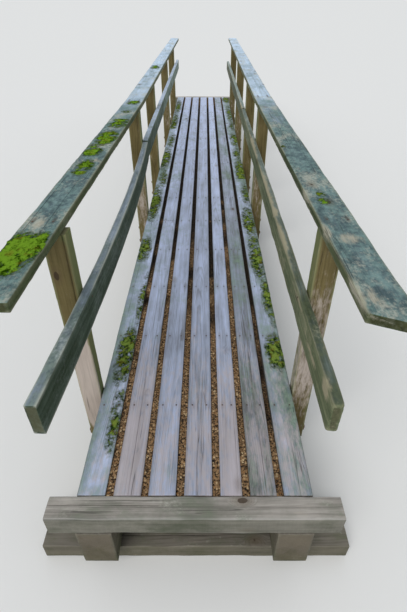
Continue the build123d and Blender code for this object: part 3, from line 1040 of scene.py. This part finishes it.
# moss: middle and half length along the bridge, middle and half width as shares of the half width,
# strength
CAP_MOSS = {
    "left_cap_rail_near": [
        (-3.83, 0.15, -0.35, 1.15, 1.45), (-3.79, 0.12, 0.3, 0.8, 1.2), (-3.05, 0.04, -0.1, 0.5, 0.8),
        (-2.95, 0.1, 0.0, 0.6, 0.85), (-2.72, 0.08, -0.2, 0.7, 1.0), (-2.62, 0.05, -0.5, 0.5, 1.0),
        (-2.44, 0.15, 0.05, 0.85, 1.3), (-2.12, 0.09, 0.2, 0.9, 1.1), (-2.02, 0.05, 0.2, 0.8, 0.9),
        (-1.76, 0.05, 0.1, 0.5, 0.7), (-1.45, 0.08, 0.1, 0.7, 0.8)],
    "left_cap_rail_far": [(0.47, 0.12, 0.0, 0.8, 0.95), (0.6, 0.06, -0.3, 0.5, 0.75)],
    "right_cap_rail_near": [
        (-3.39, 0.035, -0.15, 0.35, 0.95), (-3.31, 0.03, -0.05, 0.3, 0.85), (-2.62, 0.03, -0.75, 0.25, 0.8)],
}
# bare spots, and pale patches of painted sunlight on the right near board: middle and half length
# along the bridge, middle across, middle height, radius, strength
CAP_BARE_AND_SUNLIT = {
    "left_cap_rail_near": [(-3.61, 0.09, -0.01, 0.02, 0.06, 0.8), (-2.86, 0.08, 0.03, 0.02, 0.05, 0.6)],
    "right_cap_rail_near": [
        (-3.72, 0.06, 0.0, 0.02, 0.09, 0.75), (-3.68, 0.12, -0.07, 0.02, 0.035, 0.9),
        (-4.07, 0.06, -0.035, 0.02, 0.04, 0.75), (-4.06, 0.16, -0.075, 0.012, 0.03, 1.1),
        (-3.3, 0.2, -0.072, 0.01, 0.03, 0.7)],
}


def cap_soil(along, across, height):
    """Algae on the caps: thick near the near end, thinning out beyond the second post."""
    thin = np.clip((along + 2.6) / 1.6, 0, 1)
    return 0.98 - 0.78 * thin + 0.2 * drift(along / 0.2, across / 0.09, 93)


CORNER_REACH = 0.02


def board_ends(node):
    """A board's two ends in plan: the middle of its corners in the nearest and the farthest tenth of
    its length, where each side's near corner is, its farthest place, its levels and its width."""
    corners = corners_of(node)
    low, high = corners.min(0), corners.max(0)
    reach = 0.1 * (high[1] - low[1])
    near = corners[corners[:, 1] < low[1] + reach]
    far = corners[corners[:, 1] > high[1] - reach]
    left_x, right_x = near[:, 0].min(), near[:, 0].max()
    left_y = near[near[:, 0] < left_x + CORNER_REACH, 1].min()
    right_y = near[near[:, 0] > right_x - CORNER_REACH, 1].min()
    far_x = (far[:, 0].min() + far[:, 0].max()) / 2
    return (left_x + right_x) / 2, far_x, (left_y, right_y), high[1], low[2], high[2], right_x - left_x


def rail_names(kind):
    """The four boards of one kind of rail."""
    return [f"{side}_{kind}_rail_{end}" for side in ("left", "right") for end in ("near", "far")]


post_middles = {side: [middle_along(name) for name in posts if name.startswith(side)]
                for side in ("left", "right")}
# nails go in over each post, and to both sides of it where a board ends there
CAP_NAIL_ACROSS = 0.04
CAP_NAIL_FROM_END = 0.045
JOINT_NAIL_AWAY = 0.024
JOINT_REACH = 0.04
cap_nail_places = []
for number, name in enumerate(rail_names("cap")):
    near_x, far_x, near_y, far_y, low_z, high_z, board_width = board_ends(name)
    far_y -= CAP_YAW_ALLOWANCE
    high_z -= CAP_WORN_DOWN
    middle_z = (low_z + high_z) / 2
    middles, first_y = post_middles[name.split("_")[0]], min(near_y)
    rows = [y for y in middles if first_y < y - CAP_NAIL_FROM_END and y + CAP_NAIL_FROM_END < far_y]
    rows += [y + away for y in middles for away in (-JOINT_NAIL_AWAY, JOINT_NAIL_AWAY)
             if first_y < y + away < far_y and min(abs(y - near_y[0]), abs(y - far_y)) < JOINT_REACH]
    # shade and paling paint the sky reflection that lightens the far boards
    cap = timber(
        f"{name}_timber", (near_x, near_y[0], middle_z), (far_x, far_y, middle_z), board_width,
        high_z - low_z, (0, 0, 1), seed=907 + 23 * number, grime=cap_soil, spacing=0.0055, arris=0.006,
        ridge=0.0005, crack_count=3, skew=near_y[1] - near_y[0], mossy=CAP_MOSS.get(name, ()),
        bare=CAP_BARE_AND_SUNLIT.get(name, ()), shade=CAP_SHADE[name.split("_")[-1]], paling=CAP_PAINTED_SHEEN_A_METRE,
        end_wear=0.006, nail_rows=rows, nail_columns=(-CAP_NAIL_ACROSS, CAP_NAIL_ACROSS),
    )
    stand_in(cap, name, "rail_timber", cap_timber)
    for y in rows:
        middle_x = near_x + (far_x - near_x) * (y - near_y[0]) / (far_y - near_y[0])
        cap_nail_places += [(middle_x + turn * CAP_NAIL_ACROSS, y, high_z) for turn in (-1, 1)]
turned_heads("cap_nails", cap_nail_places, (0, 0, 1), NAIL_PROFILE, 10, nail_iron)


# Mid rails: softwood boards on edge, spiked to the posts' inner faces, two to a side. The left ones
# are dark with algae inside, darker near the walker by painted shade under the cap, and grey on top.
# The right ones are olive grey with tan worn patches and a patch of painted sunlight. Both grow
# lighter along the bridge by a painted sky reflection; there the left inner faces lighten by painted
# light and the right ones darken by painted shade.
# The left near board has sprung outwards beyond the first post.
# the left rails' dark inner faces are partly painted shade, and side_shade 1.4 paints light on their far inner faces;
# the right rails' lighter inner faces are partly painted light, and side_shade -1.6 paints shade on their far inner
# faces
rail_timbers = {
    "left": timber_material(
        "left_mid_rail_timber", (62, 78, 78), (208, 224, 248), (38, 50, 26), (126, 144, 132), (50, 52, 40),
        film=(26, 46, 38), film_light=(116, 132, 124), side_film=(26, 40, 18), crust_amount=0.2,
        crust=(172, 182, 182), arris=(182, 186, 174), arris_wear=0.85, end_dark=(54, 54, 36),
        end_light=(122, 118, 92), saw=0.7, side_shade=1.4, film_streaks=0.55,
    ),
    "right": timber_material(
        "right_mid_rail_timber", (45, 52, 32), (146, 162, 160), (66, 74, 52), (158, 162, 128), (54, 56, 42),
        film=(36, 48, 30), film_light=(84, 92, 68), side_film=(60, 74, 50), crust_amount=0.12,
        crust=(148, 150, 128), bare=(176, 166, 140), bare_amount=0.16, arris=(152, 148, 122),
        arris_wear=0.5, end_dark=(44, 42, 28), end_light=(92, 84, 62), side_shade=-1.6,
    ),
}
# bare worn patches on the right rails; the strongest, at -2.72, is painted sunlight: middle and half length along the
# bridge, middle across, middle height, radius, strength
RAIL_BARE_AND_SUNLIT = {
    "right_mid_rail_near": [
        (-4.085, 0.06, -0.022, 0.045, 0.045, 0.9), (-3.85, 0.2, -0.022, 0.0, 0.02, 0.6),
        (-3.6, 0.25, -0.022, 0.04, 0.02, 0.6), (-3.0, 0.32, -0.022, 0.068, 0.03, 0.9),
        (-2.72, 0.1, -0.022, 0.072, 0.035, 1.5), (-2.3, 0.45, -0.022, 0.07, 0.03, 0.85),
        (-1.4, 0.5, -0.022, 0.07, 0.03, 0.75)],
    "right_mid_rail_far": [(0.0, 0.8, -0.022, 0.07, 0.03, 0.45), (2.0, 0.9, -0.022, 0.07, 0.03, 0.3)],
}
RAIL_ARRIS = {"left": 0.004, "right": 0.009}
RAIL_RIDGE = {"left": 0.0006, "right": 0.001}
RAIL_END_WEAR = {"right_mid_rail_near": 0.012}
# painted light: the far boards lighter by a painted sky reflection, and the near left one darker by painted shade
# under the cap
RAIL_SHADE = {"left_mid_rail_near": -0.13, "left_mid_rail_far": 0.95, "right_mid_rail_near": -0.09,
              "right_mid_rail_far": 0.6}
RAIL_PAINTED_SHEEN_A_METRE = 0.06
RAIL_THICKNESS = 0.045
# a board whose CAD box is wider than its thickness by more than this has sprung
SPRUNG_BEYOND = 0.01


def rail_soil(along, across, height):
    """Algae on the mid rails: thicker low on their sides, thinner on top and towards the far end; the
    far thinning is partly painted light on the far boards.
    """
    top = np.clip((height - 0.04) / 0.03, 0, 1)
    farther = np.clip((along + 1.5) / 3.0, 0, 1)
    return 0.72 - 0.28 * top - 0.42 * farther + 0.16 * drift(along / 0.25, height / 0.08, 95)


def edge_line(node, share):
    """Middle of a rail across the bridge at shares of its length: a smooth curve of the fourth power
    through the CAD board's corners."""
    corners = corners_of(node)
    low, high = corners[:, 1].min(), corners[:, 1].max()
    place = (corners[:, 1] - low) / (high - low)
    return np.polyval(np.polyfit(place, corners[:, 0], 4), share)


# two spikes at each post that the board reaches, above and below its middle, and drawn in where the
# board ends; a post may stand a little beyond its far end
SPIKE_FROM_MIDDLE = 0.042
POST_BEYOND_NEAR_END = 0.02
POST_PAST_FAR_END = 0.03
SPIKE_FROM_END = 0.022
SPIKE_SUNK = 0.0008
for number, name in enumerate(rail_names("mid")):
    low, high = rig.box(name)
    side = name.split("_")[0]
    middle_z = (low.z + high.z) / 2
    sag = None
    start_x = stop_x = (low.x + high.x) / 2
    if high.x - low.x > RAIL_THICKNESS + SPRUNG_BEYOND:
        start_x, stop_x = edge_line(name, 0.0), edge_line(name, 1.0)

        def sag(share, node=name, start=start_x, stop=stop_x):
            """Sideways bow of the sprung board off the straight line between its ends."""
            return edge_line(node, share) - start * (1 - share) - stop * share

    # shade and paling paint the sky reflection on the far boards and the shade under the cap
    rail = timber(
        f"{name}_timber", (start_x, low.y, middle_z), (stop_x, high.y, middle_z), RAIL_THICKNESS,
        high.z - low.z, (0, 0, 1), seed=1103 + 29 * number, grime=rail_soil, spacing=0.0055,
        arris=RAIL_ARRIS[side], ridge=RAIL_RIDGE[side], sag=sag, crack_count=1, bare=RAIL_BARE_AND_SUNLIT.get(name, ()),
        shade=RAIL_SHADE[name], paling=RAIL_PAINTED_SHEEN_A_METRE, end_wear=RAIL_END_WEAR.get(name, 0.003),
    )
    stand_in(rail, name, "rail_timber", rail_timbers[side])
    spikes = []
    inward = 1 if side == "left" else -1
    for y in post_middles[side]:
        if low.y + POST_BEYOND_NEAR_END < y < high.y + POST_PAST_FAR_END:
            y = min(y, high.y - SPIKE_FROM_END)
            middle_x = edge_line(name, (y - low.y) / (high.y - low.y)) if sag else start_x
            face_x = middle_x + inward * (RAIL_THICKNESS / 2 - SPIKE_SUNK)
            spikes += [(face_x, y, middle_z + turn * SPIKE_FROM_MIDDLE) for turn in (-1, 1)]
    turned_heads(f"{name}_spikes", spikes, (inward, 0, 0), NAIL_PROFILE, 10, nail_iron)


# The studio: a plain pale floor that keeps the shadows, an even white surround, and one broad soft
# lamp from the upper left. Neither floor nor lamp is part of the bridge.
FLOOR_REACH = 200.0
corners = FLOOR_REACH * np.array([(-1, -1, 0), (1, -1, 0), (1, 1, 0), (-1, 1, 0)])
floor = smooth_piece("studio_floor", corners, np.array([(0, 1, 2, 3)]))
floor_paint, tree, shader = new_material("pale_floor")
fill(shader, {"Base Color": (0.8, 0.8, 0.8, 1.0), "Roughness": 1.0, "Specular IOR Level": 0.0})
floor.data.materials.append(floor_paint)
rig.stage(floor)

sky = bpy.data.worlds.new("studio_surround")
sky.use_nodes = True
tree = sky.node_tree
tree.nodes.clear()
camera_ray, glossy_ray, through_ray = put(tree, "LightPath", {}).each(
    "Is Camera Ray", "Is Glossy Ray", "Is Transmission Ray")
soft_light = put(tree, "Background", {"Color": (0.93, 0.97, 1.0, 1.0), "Strength": 0.62})
white = put(tree, "Background", {"Color": (1.0, 1.0, 1.0, 1.0), "Strength": 1.0})
seen = camera_ray.most(glossy_ray).most(through_ray)
surround = put(tree, "MixShader", {0: seen, 1: soft_light, 2: white})
fill(tree.nodes.new("ShaderNodeOutputWorld"), {0: surround})
bpy.context.scene.world = sky

lamp = bpy.data.lights.new("broad_lamp", "SUN")
lamp.energy = 1.5
lamp.angle = math.radians(35)
lamp.color = (1.0, 0.98, 0.94)
lamp_object = bpy.data.objects.new("broad_lamp", lamp)
lamp_object.rotation_euler = (math.radians(32), math.radians(-30), math.radians(10))
bpy.context.scene.collection.objects.link(lamp_object)

bpy.context.scene.view_settings.view_transform = "Standard"

low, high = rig.bounds()
with open("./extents.json", "w") as out:
    json.dump({"cad": [list(cad_low), list(cad_high)], "visual": [list(low), list(high)]}, out)
